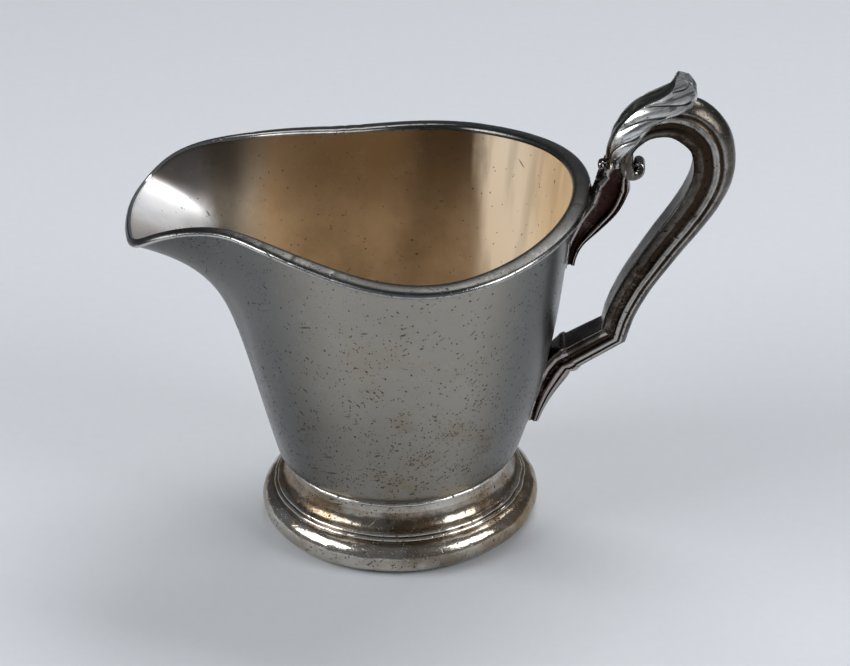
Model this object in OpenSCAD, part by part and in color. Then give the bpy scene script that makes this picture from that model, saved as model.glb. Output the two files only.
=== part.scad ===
// Cream jug: a drawn bowl with a broad pouring lip, an applied rim wire, a
// spun foot and a cast scroll handle that is brazed on at two places.
// Millimetres. The foot stands on z = 0 about the origin, the handle points
// along +X, the pouring lip along -X, and the plane y = 0 halves the jug.

/* [Bowl] */
// Outer radius of the wall at the lip, on the handle side
bowl_r = 38.9; // [36:0.1:43]
// Thickness of the drawn metal
wall_t = 1.2; // [0.9:0.1:1.3]
// Radius of the flat bottom, outside
floor_r = 23; // [21:0.1:25]
// Height of the bottom's underside above the table
floor_z = 15; // [13:0.5:18]
// Radius of the corner between the bottom and the wall, outside
corner_r = 3.5; // [2.5:0.1:4.5]
// Length over which the wall keeps its first slope
belly_len = 26; // [20:0.5:32]
// Height of the lip where it is lowest
lip_z = 72.9; // [66:0.1:80]
// Rise of the lip from its lowest place to the handle
back_rise = 4; // [2:0.1:6]
// Rise of the lip towards the tip, over the same distance on that side
front_rise = 3.2; // [2:0.1:5]
// Distance of the lowest place from the axis, towards the handle
dip_x = 8; // [4:0.5:12]

/* [Pouring lip] */
// Distance of the tip from the axis
nose_x = 54.9; // [51:0.2:60]
// Drop of the tip below the sweep of the sides
nose_drop = 9; // [7:0.1:13]
// Length over which the wall keeps its first slope below the tip
nose_belly_len = 38; // [32:0.5:42]
// Length over which the tip curves outward
nose_flare_len = 23; // [18:0.5:26]
// Length over which the rest of the lip curves outward
side_flare_len = 28; // [22:0.5:32]

/* [Rim wire] */
// Width of the wire
wire_w = 4; // [3.8:0.1:4.6]
// Height of the wire above the lip's edge
wire_h = 1.4; // [1:0.1:1.8]
// Overhang of the wire outside the wall
wire_out = 2.7; // [2.2:0.1:2.7]
// Width of the wire at the tip of the pouring lip
wire_nose_w = 1.9; // [1.6:0.1:2.6]
// Height of the wire at the tip of the pouring lip
wire_nose_h = 0.8; // [0.6:0.1:1.2]

/* [Foot] */
// Outer radius of the foot
foot_r = 30; // [28:0.2:34]
// Radius of the big roll round the base
roll_r = 3.6; // [3:0.1:4]
// How far the foot's neck stands out past the bowl's flat floor
neck_out = 0.6; // [0.3:0.1:2]
// Height of the bead between the roll and the hollow sweep above it
step_h = 1.6; // [1:0.1:2.4]
// Height of the straight neck above the sweep
neck_h = 0.9; // [0.7:0.1:1.4]
// Thickness of the spun metal
foot_t = 1.2; // [0.8:0.1:1.5]
// Width of the ledge that carries the bowl
ledge_w = 7; // [5:0.5:9]
// Width of the flat ring that stands on the table
seat_w = 1.8; // [1.4:0.1:2.4]
// Radius of the solder bead round the neck
bead_r = 0.55; // [0.4:0.05:0.7]

/* [Handle] */
// Height of the lower place where the handle meets the wall
low_z = 37; // [33:0.5:41]
// From the lip at the back down to the upper place where the handle meets the
// wall
high_drop = 12.9; // [10:0.1:17]
// Reach of the handle's outline past the wall
reach = 32.5; // [29:0.5:36]
// Greatest depth of the bar, seen from the side
bar_d = 9.2; // [8:0.1:10]
// Greatest width of the bar, seen from behind
bar_w = 8; // [7:0.1:9]
// Radius of the scroll's curled end
curl_r = 2.5; // [2.2:0.1:2.8]
// Greatest thickness of the leaf on the bar's shoulder
leaf_t = 6; // [5.2:0.1:6.6]
// Width of the leaf
leaf_w = 9.6; // [8.6:0.1:10.6]
// Greatest depth of the upper bracket
strut_d = 7; // [6:0.1:7.6]
// Greatest depth of the lower bracket
tongue_d = 6.8; // [6:0.1:7.4]
// Width of both brackets
bracket_w = 9; // [8:0.1:10]
// Height of the collars in which the brackets take the scroll's ends
collar_h = 1.6; // [1.2:0.1:2]
// Spread of those collars past the scroll's ends
collar_spread = 0.4; // [0.2:0.1:0.6]
// Spread of the solder past a bracket's edge
solder_spread = 0.6; // [0.4:0.1:1]
// Thickness of the solder between a bracket and the wall
solder_t = 0.3; // [0.2:0.05:0.4]

/* [Hidden] */
silver = "#9b9a97";
silver_dark = "#6f6a66";
solder_grey = "#b9b4ab";

// Steps round the bowl, in the corner of its bottom and up its wall
round_steps = 96;
corner_steps = 5;
wall_steps = 15;
// How far the steps round the bowl crowd together towards the tip, degrees
crowding = 24;
// Angle that the derivatives round the bowl are taken over
probe = 0.5;
// Half angle of the wedge of wall that the brackets are fitted to
wedge_angle = 20;

// Lean of the wall from upright where it leaves the corner, degrees: on the
// sides and below the tip
wall_lean = 19.5;
nose_lean = 14;
// Slope of the wall at the lip, from level: on the sides and at the tip
side_slope = 80.5;
nose_slope = 22;
// Half angle of the pouring lip, seen from above, and how square its end is
nose_angle = 26.5;
nose_square = 6.8;
// The same for the drop of its tip
drop_angle = 22;
drop_square = 7;
// The same for the part of the rim wire that is slimmer round the tip
wire_angle = 42;
wire_square = 4;
// Where the sides draw in behind the pouring lip, over what angle each way,
// and by what share of the bowl's radius
waist_angle = 66;
waist_span = 50;
waist_share = 0.128;

// Blend from 1 at the tip to 0 round the bowl
function fade(d, half, square) = 1 / (1 + pow(d / half, square));
function fold(a) = a > 180 ? 360 - a : abs(a);
function mix(a, b, t) = a + (b - a) * t;
function unit(v) = v / norm(v);

// Lip, by the angle d from the tip: its radius and its height
function waist(d) = abs(d - waist_angle) > waist_span ? 0
    : pow(cos(90 * (d - waist_angle) / waist_span), 2);
function lip_radius(d) = bowl_r * (1 - waist_share * waist(d))
    + (nose_x - bowl_r) * fade(d, nose_angle, nose_square);
function sweep(d) = pow((bowl_r * cos(d) + dip_x) / (bowl_r - dip_x), 2);
function lip_height(d) = lip_z
    + (bowl_r * cos(d) > -dip_x ? front_rise : back_rise) * sweep(d)
    - nose_drop * fade(d, drop_angle, drop_square);
function nose_part(d) = fade(d, nose_angle, nose_square);

// Wall from the corner to the lip as a Bezier curve in each upright plane
function corner_at(a) = [floor_r + corner_r * cos(a),
                         floor_z + corner_r * (1 + sin(a))];
function wall_points(d) =
    let (start = corner_at(-wall_lean),
         end = [lip_radius(d), lip_height(d)],
         slope = mix(side_slope, nose_slope, nose_part(d)),
         belly = mix(belly_len, nose_belly_len, nose_part(d)),
         lean = mix(wall_lean, nose_lean, nose_part(d)),
         flare = mix(side_flare_len, nose_flare_len, nose_part(d)))
    [start,
     start + belly * [sin(lean), cos(lean)],
     end - flare * [cos(slope), sin(slope)],
     end];
function bezier(p, t) = pow(1 - t, 3) * p[0] + 3 * pow(1 - t, 2) * t * p[1]
    + 3 * (1 - t) * pow(t, 2) * p[2] + pow(t, 3) * p[3];
function bezier_slope(p, t) = pow(1 - t, 2) * (p[1] - p[0])
    + 2 * (1 - t) * t * (p[2] - p[1]) + pow(t, 2) * (p[3] - p[2]);

// Places and normals in space. The angle a runs round from the tip.
function spin(p, a) = [-p[0] * cos(a), -p[0] * sin(a), p[1]];
function wall_at(a, t) = spin(bezier(wall_points(fold(a)), t), a);
function wall_rise(a, t) = unit(spin(bezier_slope(wall_points(fold(a)), t), a));
function wall_round(a, t) = wall_at(a + probe, t) - wall_at(a - probe, t);
function wall_normal(a, t) = unit(cross(wall_round(a, t), wall_rise(a, t)));
function corner_normal(c, a) = spin([cos(c), sin(c)], a);

// Angles of the steps round the bowl and of those in its corner
round_angles = [for (i = [0:round_steps - 1])
    let (u = 360 * i / round_steps) u - crowding * sin(u)];
corner_angles = [for (i = [0:corner_steps - 1])
    mix(-90, -wall_lean, i / corner_steps)];

// Rings of the bowl's surface, moved along its normals by grow
function corner_ring(c, grow) = [for (a = round_angles)
    spin(corner_at(c), a) + grow * corner_normal(c, a)];
function wall_ring(t, grow) = [for (a = round_angles)
    wall_at(a, t) + grow * wall_normal(a, t)];
function bowl_rings(grow) = concat(
    [for (c = corner_angles) corner_ring(c, grow)],
    [for (i = [0:wall_steps]) wall_ring(i / wall_steps, grow)]);

// Handle frame: out is measured from a straight line through the two places
// where the handle meets the wall, and up from the table
function wall_x_at(z, low = 0, high = 1) =
    let (mid = (low + high) / 2,
         p = bezier(wall_points(180), mid))
    high - low < probe / 1000 ? p[0]
    : p[1] > z ? wall_x_at(z, low, mid)
    : wall_x_at(z, mid, high);
high_z = lip_height(180) - high_drop;
low_x = wall_x_at(low_z);
high_x = wall_x_at(high_z);
rise = high_z - low_z;
function at(out_share, up_share) =
    [low_x + up_share * (high_x - low_x) + out_share * reach,
     low_z + up_share * rise];

// Rows of [out share, up share, depth share, width share] along each casting
bar_shares = [
    [0.210, 1.710, 0.54, 0.80], [0.205, 1.825, 0.57, 0.84],
    [0.240, 1.950, 0.61, 0.88], [0.335, 2.060, 0.67, 0.92],
    [0.480, 2.115, 0.87, 0.96], [0.630, 2.070, 1.00, 1.00],
    [0.755, 1.935, 0.98, 1.00], [0.813, 1.760, 0.96, 1.00],
    [0.825, 1.595, 0.93, 0.98], [0.786, 1.405, 0.89, 0.98],
    [0.720, 1.230, 0.85, 0.97], [0.642, 1.060, 0.82, 0.95],
    [0.563, 0.875, 0.78, 0.94], [0.491, 0.690, 0.75, 0.93],
    [0.440, 0.510, 0.72, 0.92], [0.414, 0.385, 0.70, 0.92]];
arm_shares = [[0.400, 0.235, 0.65, 0.94], [0.160, 0.040, 0.68, 1.05]];
leaf_shares = [
    [0.166, 1.785, 0.23, 0.62], [0.152, 1.935, 0.43, 0.84],
    [0.190, 2.080, 0.55, 0.98], [0.277, 2.200, 0.63, 1.00],
    [0.390, 2.267, 0.80, 0.94], [0.500, 2.337, 1.00, 0.76],
    [0.527, 2.390, 0.83, 0.44]];
strut_shares = [
    [0.023, 0.863, 0.34, 0.62], [0.034, 0.963, 0.46, 0.80],
    [0.062, 1.090, 0.66, 0.92], [0.121, 1.237, 0.84, 0.92],
    [0.185, 1.396, 0.93, 0.86], [0.212, 1.548, 1.00, 0.84]];
tongue_shares = [
    [-0.004, -0.540, 0.38, 0.62], [-0.003, -0.404, 0.54, 0.76],
    [0.020, -0.248, 0.78, 0.86], [0.065, -0.085, 0.98, 0.94]];
// Place of the scroll's eye and of the small curl on the upper bracket
eye_shares = [0.308, 1.674];
knob_shares = [0.117, 1.700];
knob_r = 1.1;

// Half outlines of the castings' sections, from the inner face to the outer:
// [depth share, half width share]
bar_section_shares = [[-0.50, 0.78], [-0.40, 0.96], [-0.28, 1.00],
    [-0.20, 0.88], [-0.10, 0.88], [-0.02, 1.00], [0.08, 1.00],
    [0.16, 0.86], [0.28, 0.84], [0.40, 0.60], [0.50, 0.24]];
leaf_section_shares = [[-0.45, 0.60], [-0.50, 0.86], [-0.30, 1.00],
    [0.05, 0.90], [0.30, 0.55], [0.40, 0.22], [0.50, 0.08]];
strut_section_shares = [[-0.50, 0.90], [-0.38, 1.00], [-0.20, 0.80],
    [0.10, 0.74], [0.26, 0.86], [0.38, 0.88], [0.50, 0.40]];

// Smooth curve through the rows of a table
function spline_row(p, i, t) =
    let (n = len(p) - 1,
         a = p[max(i - 1, 0)], b = p[i], c = p[min(i + 1, n)],
         d = p[min(i + 2, n)])
    0.5 * (2 * b + (c - a) * t + (2 * a - 5 * b + 4 * c - d) * pow(t, 2)
        + (3 * b - a - 3 * c + d) * pow(t, 3));
function smooth(p, steps) = concat(
    [for (i = [0:len(p) - 2]) for (k = [0:steps - 1])
        spline_row(p, i, k / steps)],
    [p[len(p) - 1]]);
// Rows of shares as places and sizes
function rows(shares, depth, width) = [for (r = shares)
    let (p = at(r[0], r[1])) [p[0], p[1], r[2] * depth, r[3] * width]];

// Offset vector of a mitred path at row i: square to the path, and longer at
// a corner
function square_to(p, i) =
    let (v = unit([p[i + 1][0] - p[i][0], p[i + 1][1] - p[i][1]])) [-v[1], v[0]];
function mitre(p, i) =
    let (n = len(p) - 1,
         before = square_to(p, max(i - 1, 0)),
         after = square_to(p, min(i, n - 1)))
    (before + after) / (1 + before * after);
function whole_section(half) = concat(half,
    [for (i = [len(half) - 1:-1:0]) [half[i][0], -half[i][1]]]);
// side is 1 where the casting's outer face is on the left of its path, else -1
function casting_rings(p, half, side) = [for (i = [0:len(p) - 1])
    let (m = side * mitre(p, i))
    [for (s = whole_section(half))
        [p[i][0] + m[0] * s[0] * p[i][2], side * s[1] * p[i][3] / 2,
         p[i][1] + m[1] * s[0] * p[i][2]]]];

// Closed skin through rings of equal length, the first and last capped flat
module skin(rings) {
    n = len(rings[0]);
    k = len(rings);
    sides = [for (j = [0:k - 2]) for (i = [0:n - 1])
        let (a = j * n + i, b = j * n + (i + 1) % n)
        each [[a, a + n, b], [b, a + n, b + n]]];
    caps = [[for (i = [0:n - 1]) i],
            [for (i = [n - 1:-1:0]) (k - 1) * n + i]];
    polyhedron([for (r = rings) each r], concat(sides, caps), convexity = 8);
}

// Wedge of the solid that the bowl's outer surface bounds, moved out by grow:
// the part of it behind the handle
module wall_wedge(grow) {
    skin([for (i = [0:wall_steps])
        let (t = i / wall_steps)
        concat([for (a = round_angles) if (abs(a - 180) < wedge_angle)
            wall_at(a, t) + grow * wall_normal(a, t)],
            [[0, 0, wall_at(180, t)[2]]])]);
}

module body_shell() {
    color(silver)
    skin(concat(bowl_rings(0),
        [for (i = [wall_steps:-1:0]) wall_ring(i / wall_steps, -wall_t)],
        [for (i = [corner_steps - 1:-1:0]) corner_ring(corner_angles[i], -wall_t)]));
}

// The wire's section at angle a: u runs out along the wall's normal and v on
// past its edge
function wire_section(a) =
    let (s = fade(fold(a), wire_angle, wire_square),
         w = mix(wire_w, wire_nose_w, s),
         h = mix(wire_h, wire_nose_h, s),
         out = mix(wire_out, (wire_nose_w - wall_t) / 2, s),
         inn = out - w)
    [[0, 0], [-wall_t, 0], [inn, 0], [inn + w * 0.04, h * 0.45],
     [inn + w * 0.2, h * 0.85], [inn + w / 2, h], [out - w * 0.2, h * 0.88],
     [out - w * 0.04, h * 0.5], [out, 0], [out / 2, 0]];
module rim_border() {
    rings = [for (a = round_angles)
        let (p = wall_at(a, 1), n = wall_normal(a, 1), r = wall_rise(a, 1))
        [for (s = wire_section(a)) p + n * s[0] + r * s[1]]];
    n = len(rings[0]);
    k = len(rings);
    color(silver)
    polyhedron([for (r = rings) each r],
        [for (j = [0:k - 1]) for (i = [0:n - 1])
            let (a = j * n + i, b = j * n + (i + 1) % n,
                 c = (j + 1) % k * n + i, d = (j + 1) % k * n + (i + 1) % n)
            each [[a, c, b], [b, c, d]]], convexity = 8);
}

// Foot: heights of the parts of its outline, from the table up
roll_x = foot_r - roll_r;
neck_r = floor_r + neck_out;
// Angle round the roll, from level, at which the bead starts
roll_end = 72;
bead_x = roll_x + roll_r * cos(roll_end);
bead_z = roll_r * (1 + sin(roll_end));
step_z = bead_z + step_h;
neck_z = floor_z - neck_h;
step_in = step_h * 0.7;
sweep_x = bead_x - step_in;
function arc(x, z, rx, rz, from, to, steps) = [for (i = [0:steps])
    let (a = mix(from, to, i / steps)) [x + rx * cos(a), z + rz * sin(a)]];
foot_outline = concat(
    [[roll_x - seat_w / 2, 0], [roll_x + seat_w / 2, 0]],
    arc(roll_x, roll_r, roll_r, roll_r, -70, roll_end, 14),
    arc(sweep_x, bead_z + step_h / 3, step_in, step_h * 2 / 3, 0, 90, 5),
    arc(sweep_x, neck_z, neck_r - sweep_x, step_z - neck_z, 90, 0, 9),
    [[neck_r, floor_z], [neck_r - ledge_w, floor_z],
     [neck_r - ledge_w, floor_z - foot_t], [neck_r - foot_t, floor_z - foot_t],
     [neck_r - foot_t, neck_z]],
    arc(sweep_x - foot_t, neck_z, neck_r - sweep_x, step_z - neck_z, 15, 80, 5),
    [[sweep_x - foot_t, bead_z], [roll_x - roll_r * 0.8, bead_z - foot_t],
     [roll_x - roll_r * 0.8, roll_r * 0.6]]);
module foot_pedestal() {
    color(silver)
    rotate_extrude($fn = 96)
    polygon(foot_outline);
}

module foot_seam_solder() {
    color(solder_grey)
    rotate_extrude($fn = 96)
    polygon(concat([[neck_r, floor_z]],
        arc(neck_r, floor_z - bead_r, bead_r * 1.4, bead_r, 60, -90, 7)));
}

bar_steps = 3;
bar_path = smooth(rows(bar_shares, bar_d, bar_w), bar_steps);
arm_path = rows(arm_shares, bar_d, bar_w);
scroll_path = concat(bar_path, arm_path);
eye = at(eye_shares[0], eye_shares[1]);
module scroll_eye() {
    translate([eye[0], 0, eye[1]])
    rotate([90, 0, 0])
    cylinder(r = curl_r, h = bar_w * 0.6, center = true, $fn = 32);
}
module handle_scroll() {
    color(silver_dark) {
        skin(casting_rings(scroll_path, bar_section_shares, 1));
        scroll_eye();
    }
}

// The leaf lies on the first rows of the bar
covered_rows = 8;
module handle_leaf() {
    color(silver)
    difference() {
        skin(casting_rings(smooth(rows(leaf_shares, leaf_t, leaf_w), 3),
            leaf_section_shares, 1));
        skin(casting_rings([for (i = [0:covered_rows * bar_steps]) bar_path[i]],
            bar_section_shares, 1));
    }
}

// Path of a bracket, which ends in a collar that faces the end row of the
// scroll
function collar_rows(end, next) =
    let (v = unit([next[0] - end[0], next[1] - end[1]]))
    [for (k = [collar_h, 0]) [end[0] - k * v[0], end[1] - k * v[1],
        end[2] + 2 * collar_spread, end[3] + 2 * collar_spread]];
last = len(scroll_path) - 1;
strut_rows = rows(strut_shares, strut_d, bracket_w);
strut_path = concat(smooth(strut_rows, 2),
    collar_rows(scroll_path[0], scroll_path[1]));
tongue_rows = rows(tongue_shares, tongue_d, bracket_w);
tongue_path = concat(smooth(tongue_rows, 2),
    collar_rows(scroll_path[last], scroll_path[last - 1]));

knob = at(knob_shares[0], knob_shares[1]);
module upper_bracket() {
    color(silver_dark)
    union() {
        difference() {
            skin(casting_rings(strut_path, strut_section_shares, -1));
            wall_wedge(solder_t);
            scroll_eye();
        }
        translate([knob[0], 0, knob[1]])
        rotate([90, 0, 0])
        cylinder(r = knob_r, h = bracket_w * 0.25, center = true, $fn = 24);
    }
}

module lower_bracket() {
    color(silver_dark)
    difference() {
        skin(casting_rings(tongue_path, bar_section_shares, -1));
        wall_wedge(solder_t);
    }
}

// Film of solder between the wall and a bracket: it lies behind the bracket's
// rows up to the one named by its number, and shows round their edge
module solder_film(p, top) {
    low = [p[0][3] / 2 + solder_spread, p[0][1] - solder_spread];
    wide = [p[top][3] / 2 + solder_spread, p[top][1]];
    high = [p[top][3] / 2, p[top][1] + solder_spread];
    difference() {
        intersection() {
            translate([floor_r * 0.9, 0, 0])
            rotate([90, 0, 90])
            linear_extrude(bowl_r)
            polygon([[-low[0], low[1]], low, wide, high, [-high[0], high[1]],
                     [-wide[0], wide[1]]]);
            wall_wedge(solder_t);
        }
        wall_wedge(0);
    }
}
module upper_solder() {
    color(solder_grey)
    solder_film(strut_rows, 2);
}
module lower_solder() {
    color(solder_grey)
    solder_film(tongue_rows, 3);
}

body_shell();
rim_border();
foot_pedestal();
foot_seam_solder();
handle_scroll();
handle_leaf();
upper_bracket();
lower_bracket();
upper_solder();
lower_solder();
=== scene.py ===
import math

import bmesh
import bpy
import numpy as np
from mathutils import Matrix, Vector, noise


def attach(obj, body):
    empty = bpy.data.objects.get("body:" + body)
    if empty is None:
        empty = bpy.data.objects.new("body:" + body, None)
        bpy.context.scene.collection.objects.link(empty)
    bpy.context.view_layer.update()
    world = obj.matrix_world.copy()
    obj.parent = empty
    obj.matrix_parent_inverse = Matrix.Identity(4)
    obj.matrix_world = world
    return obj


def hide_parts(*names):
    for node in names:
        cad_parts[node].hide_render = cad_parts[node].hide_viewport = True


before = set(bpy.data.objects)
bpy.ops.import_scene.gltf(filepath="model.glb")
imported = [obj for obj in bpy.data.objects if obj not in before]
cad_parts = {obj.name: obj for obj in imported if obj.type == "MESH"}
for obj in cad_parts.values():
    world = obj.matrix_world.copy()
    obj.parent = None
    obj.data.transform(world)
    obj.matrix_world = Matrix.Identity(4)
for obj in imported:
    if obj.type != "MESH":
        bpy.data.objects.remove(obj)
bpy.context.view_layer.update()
rng = np.random.default_rng(11)
MM = 0.001
TINY = 1e-9

# Bowl, in millimetres and degrees, as in the part's source
BOWL_R, WALL_T = 38.9, 1.2
FLOOR_R, FLOOR_Z, CORNER_R = 23.0, 15.0, 3.5
LIP_Z, DIP_X, FRONT_RISE, BACK_RISE = 72.9, 8.0, 3.2, 4.0
NOSE_X, NOSE_HALF, NOSE_SQUARE = 54.9, 26.5, 6.8
NOSE_DROP, DROP_HALF, DROP_SQUARE = 9.0, 22, 7
WAIST_AT, WAIST_HALF, WAIST_SHARE = 66, 50, 0.128
# The wall's curve, in the bowl and in the nose: lean from upright at the corner, slope from
# level at the lip, and how far each end pulls the curve
WALL_LEAN, NOSE_LEAN = 19.5, 14.0
WALL_SLOPE, NOSE_SLOPE = 80.5, 22
WALL_BELLY, NOSE_BELLY = 26, 38
WALL_FLARE, NOSE_FLARE = 28, 23


# --------------------------------------------------------------- shape tools
def fade(d, half, square):
    """1 at the tip, 0 round the bowl."""
    return 1 / (1 + (d / half) ** square)


def mix(a, b, t):
    """The value a share t of the way from a to b."""
    return a + (b - a) * t


def fold(a):
    """The angle from the tip, from 0 to 180 on either side."""
    a = np.mod(a, 360.0)
    return np.where(a > 180, 360 - a, a)


def cosd(a):
    return np.cos(np.radians(a))


def sind(a):
    return np.sin(np.radians(a))


def unit(v):
    return v / np.linalg.norm(v, axis=-1, keepdims=True)


def lip(d):
    """Radius and height of the lip, by the angle from the tip."""
    away = d - WAIST_AT
    waist = np.where(abs(away) > WAIST_HALF, 0, cosd(90 * away / WAIST_HALF) ** 2)
    nose = (NOSE_X - BOWL_R) * fade(d, NOSE_HALF, NOSE_SQUARE)
    x = BOWL_R * cosd(d)
    sweep = ((x + DIP_X) / (BOWL_R - DIP_X)) ** 2
    rise = np.where(x > -DIP_X, FRONT_RISE, BACK_RISE)
    drop = NOSE_DROP * fade(d, DROP_HALF, DROP_SQUARE)
    return BOWL_R * (1 - WAIST_SHARE * waist) + nose, LIP_Z + rise * sweep - drop


def wall(a, t):
    """Places on the bowl's outer surface at angle a, from 0 at the corner to 1 at the lip."""
    a, t = np.broadcast_arrays(np.asarray(a, float), np.asarray(t, float))
    d = fold(a)
    nose = fade(d, NOSE_HALF, NOSE_SQUARE)
    lean, slope = mix(WALL_LEAN, NOSE_LEAN, nose), mix(WALL_SLOPE, NOSE_SLOPE, nose)
    belly, flare = mix(WALL_BELLY, NOSE_BELLY, nose), mix(WALL_FLARE, NOSE_FLARE, nose)
    r0 = FLOOR_R + CORNER_R * cosd(WALL_LEAN)
    z0 = FLOOR_Z + CORNER_R * (1 - sind(WALL_LEAN))
    r3, z3 = lip(d)
    r1, z1 = r0 + belly * sind(lean), z0 + belly * cosd(lean)
    r2, z2 = r3 - flare * cosd(slope), z3 - flare * sind(slope)
    k = (1 - t) ** 3, 3 * (1 - t) ** 2 * t, 3 * (1 - t) * t ** 2, t ** 3
    r = k[0] * r0 + k[1] * r1 + k[2] * r2 + k[3] * r3
    z = k[0] * z0 + k[1] * z1 + k[2] * z2 + k[3] * z3
    return np.stack([-r * cosd(a), -r * sind(a), z], -1)


def wall_frame(a, t):
    """Place, outward normal and direction of rise on the bowl's outer surface."""
    step_up, step_round = 0.002, 0.4
    rise = unit(wall(a, t + step_up) - wall(a, t - step_up))
    along = wall(a + step_round, t) - wall(a - step_round, t)
    return wall(a, t), unit(np.cross(along, rise)), rise


def wall_radius(a, z, steps):
    """The bowl's outer radius at an angle and a height."""
    line = wall(np.full(steps, a), np.linspace(0, 1, steps))
    return np.interp(z, line[:, 2], np.hypot(line[:, 0], line[:, 1]))


def soft_noise(points, size, seed):
    """Smooth random value from -1 to 1 at each point, with features of that size."""
    off = Vector((seed * 7.3, seed * 3.1, seed * 1.7))
    flat = points.reshape(-1, 3)
    return np.array([noise.noise(Vector(p) / size + off) for p in flat]).reshape(points.shape[:-1])


def dents(points, count, seed, deep, wide):
    """Shallow dents and swells of a hand-worn piece, in millimetres along the normal."""
    pick = np.random.default_rng(seed)
    flat = points.reshape(-1, 3)
    out = np.zeros(len(flat))
    for _ in range(count):
        middle = flat[pick.integers(len(flat))]
        width = wide * pick.uniform(0.5, 1.6)
        depth = deep * pick.uniform(0.2, 1.0) * pick.choice([1, 1, -0.6])
        out -= depth * np.exp(-((flat - middle) ** 2).sum(1) / width ** 2)
    return out.reshape(points.shape[:-1])


def catmull(p, steps):
    """Smooth curve through the rows of p, with that many steps from row to row."""
    p = np.asarray(p, float)
    n = len(p) - 1
    out = []
    for i in range(n):
        a, b, c, d = p[max(i - 1, 0)], p[i], p[i + 1], p[min(i + 2, n)]
        for k in range(steps):
            t = k / steps
            out.append(0.5 * (2 * b + (c - a) * t + (2 * a - 5 * b + 4 * c - d) * t * t
                              + (3 * b - a - 3 * c + d) * t ** 3))
    out.append(p[n])
    return np.array(out)


def straight(a, b, steps):
    """Even rows from a towards b, without b itself."""
    a, b = np.array(a, float), np.array(b, float)
    return np.array([mix(a, b, k / steps) for k in range(steps)])


def arc(x, z, rx, rz, start, end, steps):
    """Points of an oval arc round [x, z], from one angle in degrees to another."""
    return [(x + rx * cosd(v), z + rz * sind(v)) for v in np.linspace(start, end, steps + 1)]


def finer(half, steps):
    """The half outline with each stretch cut into steps."""
    half = np.asarray(half, float)
    cuts = [straight(half[i], half[i + 1], steps) for i in range(len(half) - 1)]
    return np.vstack(cuts + [half[-1:]])


def casting_rings(path, half, side=1):
    """Rings of a casting that is swept along path rows [x, z, depth, width], mitred at its bends.
    half is the section's half outline, [depth share, half width share], and starts and ends on
    the middle. Depth counts to the path's left where side is 1, and to its right where it is -1."""
    seg = unit(path[1:, :2] - path[:-1, :2])
    square = np.stack([-seg[:, 1], seg[:, 0]], -1)
    before = np.vstack([square[:1], square])
    after = np.vstack([square, square[-1:]])
    mitre = side * (before + after) / (1 + (before * after).sum(1, keepdims=True))
    depth, width = np.vstack([half, (half * [1, -1])[::-1][1:-1]]).T
    rings = []
    for (x, z, deep, wide), (mitre_x, mitre_z) in zip(path, mitre):
        rings.append(np.stack([x + mitre_x * depth * deep, side * width * wide / 2,
                               z + mitre_z * depth * deep], -1))
    return np.array(rings)


def ring_shade(half, keep, rows):
    """The tarnish kept at each point of a casting's rings, from keep's rows [depth share, kept]."""
    depths, kept = np.array(keep).T
    line = np.interp(half[:, 0], depths, kept)
    return np.tile(np.concatenate([line, line[::-1][1:-1]]), rows)


def even_shade(rings, kept):
    """The same tarnish at each point of a casting's rings."""
    return np.full(rings.shape[0] * rings.shape[1], kept)


def revolve(outline, n, push):
    """Rings of a turned outline [radius, height], pushed outwards by push(rings) millimetres."""
    a = 360 * np.arange(n) / n
    outline = np.array(outline, float)
    r, z = outline[:, :1], outline[:, 1:]
    rings = np.stack([r * cosd(a), r * sind(a), np.repeat(z, n, 1)], -1)
    return rings + unit(rings * [1, 1, 0]) * push(rings)[..., None]


def axis_distance(rings):
    """How far each point is from the upright axis."""
    return (rings[..., 0] ** 2 + rings[..., 1] ** 2) ** 0.5


def loft(rings, path_closed=False):
    """Points and faces of a skin through rings, with both ends capped where the path is open."""
    k, n = rings.shape[:2]
    verts = list(rings.reshape(-1, 3))
    faces = []
    for j in range(k if path_closed else k - 1):
        for i in range(n):
            a, b = j * n + i, j * n + (i + 1) % n
            c, d = (j + 1) % k * n + i, (j + 1) % k * n + (i + 1) % n
            faces.append((a, c, d, b))
    if not path_closed:
        for j, flip in ((0, False), (k - 1, True)):
            verts.append(rings[j].mean(0))
            mid = len(verts) - 1
            for i in range(n):
                a, b = j * n + i, j * n + (i + 1) % n
                faces.append((mid, b, a) if flip else (mid, a, b))
    return verts, faces


def mesh_piece(name, skin, materials, node_names, sharp, index=None, shade=None):
    """A smooth shaded piece in the row frame, from a skin in millimetres. Edges sharper than
    that many degrees stay crisp, and index gives the material of each face."""
    verts, faces = skin
    mesh = bpy.data.meshes.new(name)
    mesh.from_pydata([tuple(v * MM) for v in verts], [], faces)
    for material in materials:
        mesh.materials.append(material)
    if index is not None:
        mesh.polygons.foreach_set("material_index", index)
    mesh.validate()
    work = bmesh.new()
    work.from_mesh(mesh)
    bmesh.ops.recalc_face_normals(work, faces=work.faces)
    work.to_mesh(mesh)
    work.free()
    mesh.shade_smooth()
    mesh.set_sharp_from_angle(angle=math.radians(sharp))
    measure_relief(mesh, shade)
    piece = bpy.data.objects.new(name, mesh)
    bpy.context.scene.collection.objects.link(piece)
    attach(piece, "root")
    if node_names:
        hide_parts(*node_names)


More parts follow.
